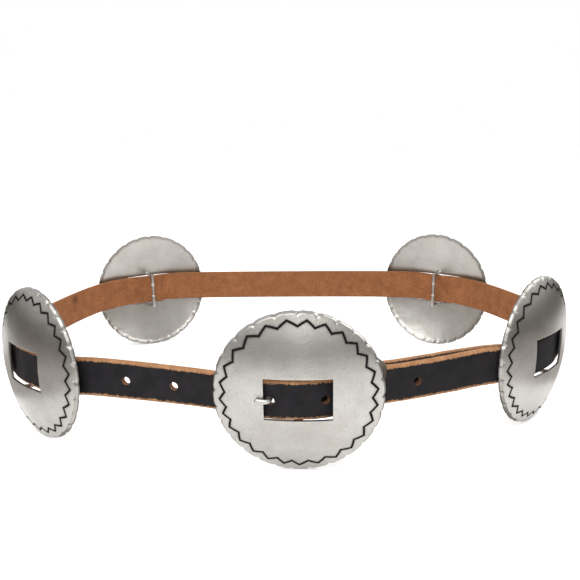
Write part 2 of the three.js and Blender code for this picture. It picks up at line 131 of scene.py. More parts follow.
def plate_rings():
    """The skin's rings over the dome and back inside, how far each is darkened (tarnish and painted shade),
    and the zigzag line's first ring.
    """
    full = np.ones(ring_size)
    rings = []
    # How far each ring is darkened: ring 0, the window's wall, is darkened as painted shade where the
    # window's edge lies in shadow.
    tarnish_and_shade = {0: 0.7}
    rings.append((window_line(0), front_at(window_line(0)) - edge_round))
    rings.append((window_line(0.1), front_at(window_line(0.1)) - 0.1))
    open_line = window_line(edge_round)
    rings.append((open_line, front_at(open_line)))
    for share in (0.08, 0.2, 0.35, 0.5, 0.65, 0.8, 1.0):
        r = between(open_line, round_from * full, share)
        rings.append((r, front_at(r)))
    for r in (24.5, 26, 27.5, 29, zigzag_from):
        rings.append((r * full, front_at(r * full)))
    inner_line = zigzag_line - line_half_width
    for share in (0.4, 0.75, 1.0):
        r = between(zigzag_from * full, inner_line, share)
        rings.append((r, front_at(r)))
    line_ring = len(rings) - 1
    tarnish_and_shade[line_ring] = 0.45
    for step, drop in ((-0.8, 0.75), (-0.35, 1.0), (0.35, 1.0), (0.8, 0.75), (1.0, 0.0)):
        r = zigzag_line + step * line_half_width
        rings.append((r, front_at(r) - drop * line_depth))
    outer_line = zigzag_line + line_half_width
    tarnish_and_shade[len(rings) - 1] = 0.45
    crest_line = rim_line - edge_bevel
    for share in (0.25, 0.5, 0.7, 0.85, 0.95):
        r = between(outer_line, crest_line, share)
        rings.append((r, front_at(r)))
    tarnish_and_shade[len(rings)] = 0.9
    rings.append((crest_line, front_at(crest_line) - 0.12))
    bevel_top = front_at(crest_line)
    # Painted shade: the bevel rings are darkened a little to dim the highlight of the light from above.
    for share in (0.15, 0.45, 0.75, 0.95):
        r = between(crest_line, rim_line, share)
        tarnish_and_shade[len(rings)] = 0.22
        rings.append((r, between(bevel_top, lip_height, share**1.4)))
    for height in (lip_height * 0.8, lip_height * 0.45, 0.12):
        tarnish_and_shade[len(rings)] = 0.75
        rings.append((rim_line, full * height))
    # Painted shade: the lip band on the back is darkened to lower its contrast.
    for inset, height in ((0.12, 0.0), (0.4, 0.02), (0.75, 0.2), (1.1, 0.42), (1.5, 0.68), (1.9, 0.94)):
        tarnish_and_shade[len(rings)] = 0.4 if inset < 1.6 else 0.2
        rings.append((rim_line - inset, full * height))
    for r in (37.0, 36.4, 35.7, 34.8, 33.4, 32, 30.5, 29, 27, 25):
        rings.append((r * full, underside_at(r * full)))
    for share in (1.0, 0.75, 0.5, 0.25, 0.08, 0.0):
        r = between(open_line, round_from * full, share)
        rings.append((r, underside_at(r)))
    rings.append((window_line(0.05), underside_at(window_line(0.05)) + 0.1))
    return rings, [tarnish_and_shade.get(k, 0.0) for k in range(len(rings))], line_ring


def chisel_cuts(radius, height, turn_share):
    """Heights after the V cuts of the chisel at the notches, which open and deepen towards the rim."""
    reach = np.clip(radius - (rim_radius - notch_length), 0, None)
    half_width = 0.1 + notch_slope * reach
    sideways = turn_share * 2 * math.pi * radius / scallops
    return height - notch_depth * reach * np.clip(1 - sideways / half_width, 0, 1)


def concho_skin(seed):
    """Points, quads, finishes (0 for the metal, 1 for the blackened line) and the plate's tarnish and painted
    shade.
    """
    rings, ring_tarnish_and_shade, line_ring = plate_rings()
    radius = np.array([r for r, _ in rings])
    height = np.array([h for _, h in rings])
    lip_ring = int(np.argmax(height[:, ring_size // 2] <= lip_height * 0.5))
    cut = chisel_cuts(radius[:lip_ring], height[:lip_ring], from_notch[None, :])
    on_lip = height[:lip_ring] < lip_zone
    height[:lip_ring] = np.maximum(cut, np.where(on_lip, height[:lip_ring] * lip_cut_share, cut_floor))
    x = radius * np.cos(ring_angle)
    z = radius * np.sin(ring_angle)
    points = np.stack([x, -height, z], axis=-1)
    shape = points.shape[:2]
    points = points.reshape(-1, 3)
    wave = Vector((seed * 7.3, seed * 3.1, seed * 5.7))
    dents = np.array([noise.noise(Vector(p) / dent_spacing + wave) for p in points.tolist()])
    ripples = np.array([noise.noise(Vector(p) / ripple_spacing - wave) for p in points.tolist()])
    ring_index = np.repeat(np.arange(shape[0]), shape[1])
    behind = ring_index > lip_ring + 1
    from_centre = np.hypot(points[:, 0], points[:, 2])
    reach = from_centre / rim_radius
    free = np.clip((rim_radius - smooth_rim - from_centre) / dent_fade, 0, 1)
    front_wave = front_dents * dents + front_ripples * ripples
    turn_phase = np.tile(np.cos(2 * math.pi * ring_share), shape[0])
    chisel_bumps = chisel_bump * np.clip(turn_phase, 0, 1) ** 2 * np.clip(1 - (1 - reach) / chisel_band, 0, 1)
    back_wave = back_dents * dents * reach + back_ripples * ripples * reach**2 + chisel_bumps
    points[:, 1] += np.where(behind, back_wave, front_wave) * free
    finish = [int(line_ring <= k < line_ring + 5) for k in ring_index.tolist()]
    return points, skin_faces(shape[0], ring_size, closed=True), finish, np.repeat(ring_tarnish_and_shade, ring_size)


# The bar behind each window
# A turned bar on two short legs, soldered to the plate's underside above and below the window.
# The strap runs between the bar and the plate; the buckle's tongue turns on the waist between the collars.
bar_setback = 1.0
leg_reach = window_height / 2 + 0.9 + 0.15
leg_flat = -0.85
bar_sides, leg_sides = 28, 20
bar_half_profile = (
    (0.88, 0.0),
    (0.9, 2.6),
    (1.0, 3.2),
    (1.38, 3.5),
    (1.5, 3.8),
    (1.5, 4.2),
    (1.36, 4.5),
    (1.05, 4.8),
    (1.18, 5.3),
    (1.22, 7.0),
    (1.2, 9.5),
    (1.24, 11.2),
    (1.1, 11.75),
    (0.7, 12.0),
    (0.0, 12.05),
)
leg_profile = ((0.9, 0.0), (0.88, 4.5), (0.95, 6.4), (1.2, 7.2), (1.7, 7.9), (2.3, 8.6), (2.4, 9.6))


def turned(profile, sides, place):
    """A turned shape: profile holds (radius, distance along the axis) from one end to the other."""
    points = []
    for radius, along in profile:
        for j in range(sides):
            turn = 2 * math.pi * j / sides
            points.append(place(radius * math.cos(turn), radius * math.sin(turn), along))
    return points, skin_faces(len(profile), sides)


def bar_parts():
    """The bar and its two legs, whose solder is filed flat on the side towards the window."""
    lower = [(max(r, 0.05), -z) for r, z in reversed(bar_half_profile[1:])]
    upper = [(max(r, 0.05), z) for r, z in bar_half_profile]
    parts = [turned(lower + upper, bar_sides, lambda a, b, z: (a, bar_setback + b, z))]
    for side in (-1, 1):

        def leg_point(a, b, height, side=side):
            return a, bar_setback - height, side * (leg_reach + max(b, leg_flat))

        parts.append(turned(leg_profile, leg_sides, leg_point))
    return parts


def new_object(name, data):
    piece = bpy.data.objects.new(name, data)
    bpy.context.scene.collection.objects.link(piece)
    return piece


def shade_smooth(mesh, sharp_degrees):
    mesh.polygons.foreach_set("use_smooth", [True] * len(mesh.polygons))
    mesh.set_sharp_from_angle(angle=math.radians(sharp_degrees))


def mesh_object(name, points, faces, materials, finish=None, sharp_degrees=38):
    """A smooth-shaded object with its place in its mesh, from points in millimetres."""
    mesh = bpy.data.meshes.new(name)
    mesh.from_pydata([tuple(c * MM for c in p) for p in points], [], faces)
    for material in materials:
        mesh.materials.append(material)
    if finish is not None:
        mesh.polygons.foreach_set("material_index", finish)
    shade_smooth(mesh, sharp_degrees)
    mesh.update()
    return new_object(name, mesh)


def new_material(name):
    material = bpy.data.materials.new(name)
    material.use_nodes = True
    return material, material.node_tree, material.node_tree.nodes["Principled BSDF"]


def object_place(tree):
    return tree.nodes.new("ShaderNodeTexCoord").outputs["Object"]


def noise_node(tree, vector, scale, detail=3.0, roughness=0.55, distortion=0.0):
    texture = tree.nodes.new("ShaderNodeTexNoise")
    texture.inputs["Scale"].default_value = scale
    texture.inputs["Detail"].default_value = detail
    texture.inputs["Roughness"].default_value = roughness
    texture.inputs["Distortion"].default_value = distortion
    tree.links.new(vector, texture.inputs["Vector"])
    return texture.outputs["Fac"]


def ramp_node(tree, value, stops):
    ramp = tree.nodes.new("ShaderNodeValToRGB")
    elements = ramp.color_ramp.elements
    while len(elements) < len(stops):
        elements.new(0.5)
    for element, (place, colour) in zip(elements, stops):
        element.position = place
        element.color = (*colour, 1.0)
    tree.links.new(value, ramp.inputs["Fac"])
    return ramp.outputs["Color"]


def range_node(tree, value, low, high, to_low, to_high):
    node = tree.nodes.new("ShaderNodeMapRange")
    for socket, number in (("From Min", low), ("From Max", high), ("To Min", to_low), ("To Max", to_high)):
        node.inputs[socket].default_value = number
    tree.links.new(value, node.inputs["Value"])
    return node.outputs["Result"]


def mix_colours(tree, factor, a, b, blend="MIX"):
    mix = tree.nodes.new("ShaderNodeMix")
    mix.data_type = "RGBA"
    mix.blend_type = blend
    for socket, source in (("Factor", factor), ("A", a), ("B", b)):
        target = next(s for s in mix.inputs if s.name == socket and s.enabled)
        if isinstance(source, bpy.types.NodeSocket):
            tree.links.new(source, target)
        elif isinstance(source, tuple):
            target.default_value = (*source, 1.0)
        else:
            target.default_value = source
    return next(s for s in mix.outputs if s.enabled)


def bump_node(tree, height, strength, distance, normal=None):
    bump = tree.nodes.new("ShaderNodeBump")
    bump.inputs["Strength"].default_value = strength
    bump.inputs["Distance"].default_value = distance
    tree.links.new(height, bump.inputs["Height"])
    if normal is not None:
        tree.links.new(normal, bump.inputs["Normal"])
    return bump.outputs["Normal"]


def antique_silver():
    material, tree, shader = new_material("antique_silver")
    place = object_place(tree)
    cloud = noise_node(tree, place, 90, 4, 0.6)
    speck = noise_node(tree, place, 1500, 3, 0.7)
    grain = noise_node(tree, place, 3200, 2, 0.6)
    tone = ramp_node(tree, cloud, [(0.3, (0.405, 0.39, 0.366)), (0.7, (0.485, 0.472, 0.447))])
    pits = ramp_node(tree, speck, [(0.28, (0.6, 0.585, 0.57)), (0.44, (1.0, 1.0, 1.0))])
    clean = mix_colours(tree, 1.0, tone, pits, "MULTIPLY")
    # The colour darkens towards near-black by a per-point attribute of the plate: patina at the zigzag line's
    # edges, darker lines along the crest and the lip's outer wall, and painted shade on the window's wall,
    # the bevel and the back's lip band.
    darkening = tree.nodes.new("ShaderNodeAttribute")
    darkening.attribute_name = "tarnish_and_shade"
    colour = mix_colours(tree, darkening.outputs["Fac"], clean, (0.07, 0.065, 0.06))
    tree.links.new(colour, shader.inputs["Base Color"])
    shader.inputs["Metallic"].default_value = 1.0
    tree.links.new(range_node(tree, speck, 0.3, 0.7, 0.4, 0.27), shader.inputs["Roughness"])
    soft = bump_node(tree, cloud, 0.12, 0.0015)
    cast = bump_node(tree, speck, 0.45, 0.00016, soft)
    tree.links.new(bump_node(tree, grain, 0.15, 0.00005, cast), shader.inputs["Normal"])
    return material


def blackening():
    material, tree, shader = new_material("blackened_line")
    place = object_place(tree)
    mottle = noise_node(tree, place, 900, 2)
    tone = ramp_node(tree, mottle, [(0.3, (0.004, 0.004, 0.004)), (0.7, (0.012, 0.011, 0.011))])
    tree.links.new(tone, shader.inputs["Base Color"])
    shader.inputs["Roughness"].default_value = 0.7
    shader.inputs["Specular IOR Level"].default_value = 0.08
    return material


silver = antique_silver()
blackened = blackening()

# Placing the conchos
# Each faces outwards from the loop and stands on the foot of its lowest scallop, leaning a little.
# Across and deep are shares of the loop's half width and depth, facing and lean are degrees, and before and
# after say how far behind the rim the strap arrives and leaves, as shares of a concho's height.
loop_half_width = 129.0
loop_depth = 206.0
foot_reach = rim_radius * math.cos(math.pi / scallops * 0.5)
concho_columns = ("name", "across", "deep", "facing", "lean", "before", "after")
concho_table = (
    ("buckle", 0.027, 0.0, -2.7, 5.4, 0.34, 0.99),
    ("right", 1.0, 0.291, 48.1, 1.0, 0.37, 0.42),
    ("back_right", 0.798, 0.983, 144.3, 3.2, 0.4, 0.53),
    ("back_left", -0.771, 1.018, -150.4, 2.4, 0.38, 0.36),
    ("left", -1.0, 0.223, -45.3, 0.0, 0.42, 0.73),
)
concho_rows = [dict(zip(concho_columns, row)) for row in concho_table]


def concho_place(row):
    lean = math.radians(row["lean"])
    stand = foot_reach * math.cos(lean) + lip_height * max(0.0, math.sin(lean))
    spot = Vector((row["across"] * loop_half_width, row["deep"] * loop_depth, stand))
    facing = Matrix.Rotation(math.radians(row["facing"]), 4, "Z")
    return Matrix.Translation(spot) @ facing @ Matrix.Rotation(lean, 4, "X")


places = {row["name"]: concho_place(row) for row in concho_rows}
rim_corners = [
    places["left"] @ Vector((foot_reach * math.cos(turn), -height, foot_reach * math.sin(turn)))
    for turn in np.linspace(0, 2 * math.pi, 721)
    for height in (0.0, lip_height)
]
frame_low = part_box("left_concho")[0]
shift_x = frame_low[0] / MM - min(corner.x for corner in rim_corners)
shift_y = frame_low[1] / MM - min(corner.y for corner in rim_corners)
for name in places:
    places[name] = Matrix.Translation((shift_x, shift_y, 0)) @ places[name]

for seed, row in enumerate(concho_rows):
    points, faces, finish, tarnish_and_shade = concho_skin(seed)
    points = points.tolist()
    for part_points, part_faces in bar_parts():
        start = len(points)
        points += part_points
        faces += [tuple(start + v for v in face) for face in part_faces]
        finish += [0] * len(part_faces)
    placed = [places[row["name"]] @ Vector(p) for p in points]
    concho = mesh_object(row["name"] + "_plate", placed, faces, [silver, blackened], finish)
    darkening = concho.data.attributes.new("tarnish_and_shade", "FLOAT", "POINT")
    darkening.data.foreach_set("value", np.append(tarnish_and_shade, np.zeros(len(points) - len(tarnish_and_shade))))
    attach(concho, "root")
    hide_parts(row["name"] + "_concho")

# The strap
# One strip of thick leather, blackened on its face and edges, its chamfers skived to the raw tan hide.
# It folds round the buckle's bar, runs through every concho and comes back through the buckle as a free end.
strap_width = 19.0
strap_thickness = 3.0
edge_chamfer = 1.2
clearance = 0.3
layer_gap = 2.0
fold_length = 26.0
bar_waist = 0.9
wire_radius = 1.1
beside_rim = rim_radius + 3
beside_window = window_width / 2 + 2.5
tip_length = 8.0
tip_tuck = 11.5
tip_reach = rim_radius - tip_tuck + tip_length
crest_rise, crest_shift = 0.9, 2.0
right_dip = 2.3
rim_sag = 1.6
window_sag = {"buckle": 0.45, "right": 0.35, "back_right": -0.3, "back_left": -0.3, "left": 0.35}
shoulder_sags = 2.7
lap_start = rim_radius - 19.0
closing_parts = 3
coarse_step = 7.0
station_step = 1.4


def underside_over_strap(x):
    return float(underside_at(math.hypot(x, strap_width / 2)))


def path_point(name, x, out, rise=0.0):
    """A point of the strap's middle line in a concho's frame, with the strap's upright there."""
    return places[name] @ Vector((x, -out, rise)), places[name].to_3x3() @ Vector((0, 0, 1))


def face_point(name, x, outer_face, rise=0.0):
    return path_point(name, x, outer_face - strap_thickness / 2, rise)


def rim_drop(share, layers):
    return -share * concho_height - layers


window_edge = underside_over_strap(window_width / 2)


def path_through(row):
    name = row["name"]
    shoulder = underside_over_strap(beside_window) - plate_thickness
    lap = strap_thickness + clearance if name == "right" else 0
    sag = window_sag[name]
    return [
        face_point(name, -beside_rim, rim_drop(row["before"], lap)),
        face_point(name, -beside_window, shoulder, -shoulder_sags * sag),
        face_point(name, 0, window_edge + plate_thickness / 2, -sag),
        face_point(name, beside_window, shoulder, -shoulder_sags * sag),
        face_point(name, beside_rim, rim_drop(row["after"], 0)),
    ]


buckle_row = concho_rows[0]
fold_radius = 1.5 + clearance + strap_thickness / 2
leaving_out = rim_drop(buckle_row["after"], strap_thickness + layer_gap) - strap_thickness / 2
leaving = Vector((beside_rim, leaving_out + bar_setback))
fold_slope = math.atan2(leaving.y, leaving.x) - math.asin(fold_radius / leaving.length)


def fold_point(along, out):
    """A point of the fold, along the leaving strap from the bar and square to it."""
    x = along * math.cos(fold_slope) - out * math.sin(fold_slope)
    y = along * math.sin(fold_slope) + out * math.cos(fold_slope)
    return path_point("buckle", x, y - bar_setback)


def path_of_fold():
    closed = fold_radius - strap_thickness - clearance
    path = [fold_point(fold_length, closed), fold_point(fold_length / 2, closed)]
    for degrees in range(260, 89, -28):
        turn = math.radians(degrees)
        path.append(fold_point(fold_radius * math.cos(turn), fold_radius * math.sin(turn)))
    path += [fold_point(fold_length / 2, fold_radius), fold_point(fold_length, fold_radius)]
    return path + [path_point("buckle", beside_rim, leaving_out, -rim_sag)]


def spline_point(points, place):
    """A point of the centripetal Catmull-Rom curve through the points; place counts points along it."""
    i = min(int(place), len(points) - 2)
    share = place - i
    b, c = points[i], points[i + 1]
    a = points[i - 1] if i > 0 else 2 * b - c
    d = points[i + 2] if i + 2 < len(points) else 2 * c - b
    before, here, after = (math.sqrt((q - p).length) for p, q in ((a, b), (b, c), (c, d)))
    start = ((b - a) / before - (c - a) / (before + here) + (c - b) / here) * here
    end = ((c - b) / here - (d - b) / (here + after) + (d - c) / after) * here
    square, cube = share**2, share**3
    return (
        b * (2 * cube - 3 * square + 1)
        + start * (cube - 2 * square + share)
        + c * (3 * square - 2 * cube)
        + end * (cube - square)
    )


def stations_along(path, step):
    """Places on a smooth line through the path, each with its directions and how far along it lies."""
    points = [point for point, _ in path]
    stations = []
    for i in range(len(path) - 1):
        steps = math.ceil((points[i + 1] - points[i]).length / step)
        last = i == len(path) - 2
        for k in range(steps + (1 if last else 0)):
            place = i + k / steps
            low, high = max(place - 0.001, 0), min(place + 0.001, len(path) - 1)
            along = (spline_point(points, high) - spline_point(points, low)).normalized()
            share = k / steps
            up = path[i][1].lerp(path[i + 1][1], share * share * (3 - 2 * share))
            out = along.cross(up).normalized()
            up = out.cross(along).normalized()
            stations.append({"point": spline_point(points, place), "along": along, "out": out, "up": up})
    travelled = 0.0
    for i, station in enumerate(stations):
        if i:
            travelled += (station["point"] - stations[i - 1]["point"]).length
        station["travelled"] = travelled
    return stations


def station_where(run, measure, goal):
    i = next(k for k, station in enumerate(run) if measure(station) >= goal)
    a, b = run[i - 1], run[i]
    share = (goal - measure(a)) / (measure(b) - measure(a))
    found = {key: a[key].lerp(b[key], share) for key in ("point", "along", "up")}
    found["along"].normalize()
    found["out"] = found["along"].cross(found["up"]).normalized()
    found["travelled"] = a["travelled"] + (b["travelled"] - a["travelled"]) * share
    return found


def across(name):
    inverse = places[name].inverted()
    return lambda station: (inverse @ station["point"]).x


inner_path = path_of_fold()
for row in concho_rows[1:]:
    inner_path += path_through(row)
inner_stations = stations_along(inner_path, coarse_step)
half_round = fold_length + math.pi * fold_radius / 2
to_right = beside_rim + loop_half_width
leaving_run = [s for s in inner_stations if half_round < s["travelled"] < half_round + to_right]
across_buckle, across_right = across("buckle"), across("right")
under_lap = [s for s in leaving_run if across_buckle(s) > lap_start and across_right(s) < -tip_reach - 1]
under_lap.append(station_where(leaving_run, across_right, -tip_reach))
lap_path = []
for i, station in enumerate(under_lap):
    closing = min(1, closing_parts * (1 - i / (len(under_lap) - 1)))
    gap = clearance + (layer_gap - clearance) * closing
    lap_path.append((station["point"] + station["out"] * (strap_thickness + gap), station["up"]))
buckle_sag = window_sag["buckle"]
over_window = [
    face_point("buckle", -beside_rim, rim_drop(buckle_row["before"], 0), -rim_sag),
    face_point("buckle", -window_width / 2, window_edge - clearance * 1.5, -shoulder_sags * buckle_sag),
    face_point("buckle", -crest_shift, window_edge + plate_thickness + crest_rise, -buckle_sag),
    face_point("buckle", window_width / 2, window_edge - right_dip, -shoulder_sags * buckle_sag),
]
strap_stations = stations_along(inner_path + over_window + lap_path, station_step)
inner_length = inner_stations[-1]["travelled"]
free_run = [s for s in strap_stations if s["travelled"] > inner_length]


def strap_outline():
    """The strap's section as (out, up) points, with rounded chamfers, a crowned face and a soft back."""
    face, edge = strap_thickness / 2, strap_width / 2 + 0.1
    corner = edge - edge_chamfer
    half = [(face, 0), (face, 3), (face, 6), (face - 0.02, corner - 0.5), (face - 0.14, corner + 0.1)]
    half += [(face - 0.5, edge - 0.72), (face - 0.9, edge - 0.3), (face - edge_chamfer - 0.15, edge - 0.04)]
    half += [(0, edge), (0.4 - face, edge), (0.12 - face, edge - 0.1), (-face, edge - 0.4)]
    half += [(-face, edge - 2), (-face, 5), (-face, 2)]
    return half + [(-face, 0)] + [(out, -up) for out, up in reversed(half[1:])]


outline = strap_outline()
frayed = {4, 5, 6, 7, 10, 11}
fray, pebble, swell = 0.16, 0.03, 0.05


def leather_strap():
    last = strap_stations[-1]
    rings = [(station, 1.0) for station in strap_stations]
    for share in (0.1, 0.2, 0.3, 0.4, 0.5, 0.6, 0.7, 0.78, 0.85, 0.91, 0.95, 0.97):
        point = last["point"] + last["along"] * share * tip_length
        ring = dict(last, point=point, travelled=last["travelled"] + share * tip_length)
        rings.append((ring, math.sqrt(1 - share**2)))
    count = len(outline)
    points, sections = [], []
    for station, narrowing in rings:
        for k, (out, up) in enumerate(outline):
            rough = noise.noise(Vector((station["travelled"] / 1.7, up / 2.0, out * 2)))
            waves = noise.noise(Vector((station["travelled"] / 14, up / 9, 3.3)))
            edge = min(k, count - k) in frayed
            offset = fray * rough if edge else pebble * rough
            moved_out = out + swell * waves + offset * (0.5 if out > 0 else -0.5)
            moved_up = up * narrowing + (offset * math.copysign(0.6, up) if edge else 0)
            points.append(station["point"] + station["out"] * moved_out + station["up"] * moved_up)
            sections.append((station["travelled"], out, up * narrowing))
    return points, skin_faces(len(rings), count), sections


def split_vector(tree, vector):
    split = tree.nodes.new("ShaderNodeSeparateXYZ")
    tree.links.new(vector, split.inputs[0])
    return split.outputs


def raw_leather_nodes(tree, place, colours):
    """The colour of hide without a coat: fibres along the strap over a soft mottle."""
    mottle = noise_node(tree, place, 160, 4, 0.6)
    fibre = noise_node(tree, place, 1100, 5, 0.75, 0.6)
    tone = ramp_node(tree, mottle, [(0.3, colours[0]), (0.7, colours[1])])
    dark = ramp_node(tree, fibre, [(0.32, (0.62, 0.58, 0.54)), (0.6, (1.08, 1.08, 1.08))])
    return mix_colours(tree, 1.0, tone, dark, "MULTIPLY"), fibre


left_side = -110.0
stain_behind, stain_height = 49.0, 5.6
left_run = [s for s in inner_stations if s["point"].x < left_side and s["travelled"] > inner_length / 2]
stained = station_where(left_run, lambda s: -s["point"].y, -stain_behind)["travelled"]
covered_from = half_round
covered_to = half_round + to_right
bare_from = 8.3
less_worn, more_worn = -1.3, 0.55


def strap_material():
    material, tree, shader = new_material("strap_leather")

    def section_map(name):
        section = tree.nodes.new("ShaderNodeUVMap")
        section.uv_map = name
        return split_vector(tree, section.outputs["UV"])

    along, up = section_map("along_up")[:2]
    out = section_map("depth")[0]
    join = tree.nodes.new("ShaderNodeCombineXYZ")
    for k, source in enumerate((along, up, out)):
        tree.links.new(source, join.inputs[k])
    place = join.outputs["Vector"]

    def calculate(operation, a, b):
        node = tree.nodes.new("ShaderNodeMath")
        node.operation = operation
        for k, source in enumerate((a, b)):
            if isinstance(source, float):
                node.inputs[k].default_value = source
            elif source is not None:
                tree.links.new(source, node.inputs[k])
        return node.outputs[0]

    width = calculate("ABSOLUTE", up, None)
    past_face = calculate("SUBTRACT", width, out)
    past_corner = calculate("SUBTRACT", past_face, (bare_from - strap_thickness / 2) * MM)
    ragged = noise_node(tree, place, 560, 6, 0.8, 0.5)
    scratches = noise_node(tree, place, 1900, 3, 0.65)
    ragged_edge = range_node(tree, ragged, 0.25, 0.75, -1.0 * MM, 1.1 * MM)
    fine_edge = range_node(tree, scratches, 0.25, 0.75, -0.5 * MM, 0.5 * MM)
    covered = range_node(tree, along, covered_from * MM, covered_to * MM, 1.0, 0.0)
    covered = calculate("MULTIPLY", calculate("GREATER_THAN", covered, 0.001), less_worn * MM)
    below = calculate("MULTIPLY", calculate("LESS_THAN", up, 0.0), more_worn * MM)
    worn = calculate("ADD", calculate("ADD", ragged_edge, fine_edge), calculate("ADD", covered, below))
    border = calculate("ADD", past_corner, worn)
    bare = range_node(tree, border, 0.12 * MM, 0.42 * MM, 0.0, 1.0)
    at_back = range_node(tree, out, -1.3 * MM, -1.05 * MM, 1.0, 0.0)

    tan, fibre = raw_leather_nodes(tree, place, ((0.26, 0.13, 0.063), (0.39, 0.21, 0.108)))
    suede, _ = raw_leather_nodes(tree, place, ((0.202, 0.082, 0.035), (0.282, 0.115, 0.049)))
    grain = noise_node(tree, place, 1700, 5, 0.7)
    patches = noise_node(tree, place, 120, 4, 0.6)
    coat = ramp_node(tree, patches, [(0.3, (0.007, 0.0065, 0.0078)), (0.72, (0.0145, 0.0128, 0.0148))])
    face = mix_colours(tree, bare, coat, tan)
    centre = tree.nodes.new("ShaderNodeVectorMath")
    centre.operation = "DISTANCE"
    centre.inputs[1].default_value = (stained * MM, stain_height * MM, -strap_thickness / 2 * MM)
    tree.links.new(place, centre.inputs[0])
    darkening = range_node(tree, centre.outputs["Value"], 1.0 * MM, 4.2 * MM, 0.62, 0.0)
    suede = mix_colours(tree, darkening, suede, (0.03, 0.014, 0.012))
    tree.links.new(mix_colours(tree, at_back, face, suede), shader.inputs["Base Color"])
    rough = calculate("MAXIMUM", bare, at_back)
    tree.links.new(range_node(tree, rough, 0.0, 1.0, 0.58, 0.92), shader.inputs["Roughness"])
    shader.inputs["Specular IOR Level"].default_value = 0.12
    pores = bump_node(tree, grain, 0.35, 0.00025)
    tree.links.new(bump_node(tree, fibre, 0.3, 0.0002, pores), shader.inputs["Normal"])
    return material


def cut_leather():
    material, tree, shader = new_material("cut_leather")
    place = object_place(tree)
    colour, fibre = raw_leather_nodes(tree, place, ((0.13, 0.055, 0.026), (0.22, 0.1, 0.05)))
    tree.links.new(colour, shader.inputs["Base Color"])
    shader.inputs["Roughness"].default_value = 0.9
    tree.links.new(bump_node(tree, fibre, 0.4, 0.0002), shader.inputs["Normal"])
    return material


def set_section_maps(mesh, sections):
    """Two UV maps that say where on the strap a point lies: along and up it, and out of it."""
    corner_points = np.zeros(len(mesh.loops), dtype=np.int32)
    mesh.loops.foreach_get("vertex_index", corner_points)
    values = np.array(sections)[corner_points] * MM
    along_up = mesh.uv_layers.new(name="along_up")
    along_up.data.foreach_set("uv", values[:, (0, 2)].ravel())
    depth = mesh.uv_layers.new(name="depth")
    depth.data.foreach_set("uv", values[:, (1, 1)].ravel())


def finished_mesh(piece):
    """The plain mesh that a piece's modifiers make, which are then taken off."""
    graph = bpy.context.evaluated_depsgraph_get()
    mesh = bpy.data.meshes.new_from_object(piece.evaluated_get(graph))
    piece.modifiers.clear()
    return mesh


def cut(piece, points, faces, material):
    """Takes a closed shape away from a piece, whose new walls keep the cutter's material."""
    cutter = mesh_object("cutter", points, faces, [material])
    cutting = piece.modifiers.new("cut", "BOOLEAN")
    cutting.operation = "DIFFERENCE"
    cutting.solver = "EXACT"
    cutting.material_mode = "TRANSFER"
    cutting.object = cutter
    piece.data = finished_mesh(piece)
    bpy.data.objects.remove(cutter)


def box_shape(low, high, place):
    corners = [
        place @ Vector((x, y, z))
        for x in (low[0], high[0])
        for y in (low[1], high[1])
        for z in (low[2], high[2])
    ]
    return corners, [(0, 1, 3, 2), (4, 6, 7, 5), (0, 4, 5, 1), (2, 3, 7, 6), (0, 2, 6, 4), (1, 5, 7, 3)]


def drill_shape(radius, reach, place):
    """A drill along the local Y axis of a place."""
    profile = ((radius, -reach), (radius, reach))
    return turned(profile, 36, lambda a, b, y: place @ Vector((b, y, a)))


hole_pitch = 24.5
hole_radius = 2.1
holes_each_side = 3
prong_reach = 12.2
screw_reach = 18.0
screw_hole_radius = 2.3
slot_clearance = 1.1

raw_walls = cut_leather()
points, faces, sections = leather_strap()
strap = mesh_object("leather_strap", points, faces, [strap_material()], sharp_degrees=80)
set_section_maps(strap.data, sections)
eye_radius = bar_waist + clearance + wire_radius
slot_reach = fold_radius + strap_thickness / 2 + clearance
slot_top = wire_radius + slot_clearance
slot_right = eye_radius + wire_radius + slot_clearance
slot_low = (-slot_reach, bar_setback - slot_reach, -slot_top)
slot_high = (slot_right, bar_setback + slot_reach, slot_top)
cut(strap, *box_shape(slot_low, slot_high, places["buckle"]), raw_walls)
prong = station_where(free_run, across_buckle, -prong_reach)["travelled"]
for k in range(-holes_each_side, holes_each_side + 1):
    hole = station_where(strap_stations, lambda s: s["travelled"], prong + k * hole_pitch)
    basis = Matrix((hole["along"], hole["out"], hole["along"].cross(hole["out"]))).transposed().to_4x4()
    basis.translation = hole["point"]
    cut(strap, *drill_shape(hole_radius, strap_thickness / 2 + clearance, basis), raw_walls)
screw_out = fold_radius - (strap_thickness + clearance) / 2
screw_x = screw_reach * math.cos(fold_slope) - screw_out * math.sin(fold_slope)
screw_y = screw_reach * math.sin(fold_slope) + screw_out * math.cos(fold_slope)
screw_place = places["buckle"] @ Matrix.Translation((screw_x, bar_setback - screw_y, 0))
screw_place = screw_place @ Matrix.Rotation(-fold_slope, 4, "Z")
cut(strap, *drill_shape(screw_hole_radius, strap_thickness + 1.5 * clearance, screw_place), raw_walls)
shade_smooth(strap.data, 50)
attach(strap, "root")
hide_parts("strap")

# The fibres of the raw edges
# Hide frays where it is cut: short loose fibres stand along both back corners of the strap.
# Geometry Nodes set tapered hairs on lines that follow the two corners, with a fixed seed.
fibre_spacing = 0.55
fibre_length = 0.9
fibre_thickness = 0.07
fibre_seed = 11


def node_tree(name, inputs):
    """An empty Geometry Nodes tree with the named inputs, which are (name, kind, default)."""
    tree = bpy.data.node_groups.new(name, "GeometryNodeTree")
    tree.interface.new_socket("Geometry", in_out="INPUT", socket_type="NodeSocketGeometry")
    tree.interface.new_socket("Geometry", in_out="OUTPUT", socket_type="NodeSocketGeometry")
    for label, kind, default in inputs:
        socket = tree.interface.new_socket(label, in_out="INPUT", socket_type="NodeSocket" + kind)
        socket.default_value = default
    return tree, tree.nodes.new("NodeGroupInput"), tree.nodes.new("NodeGroupOutput")


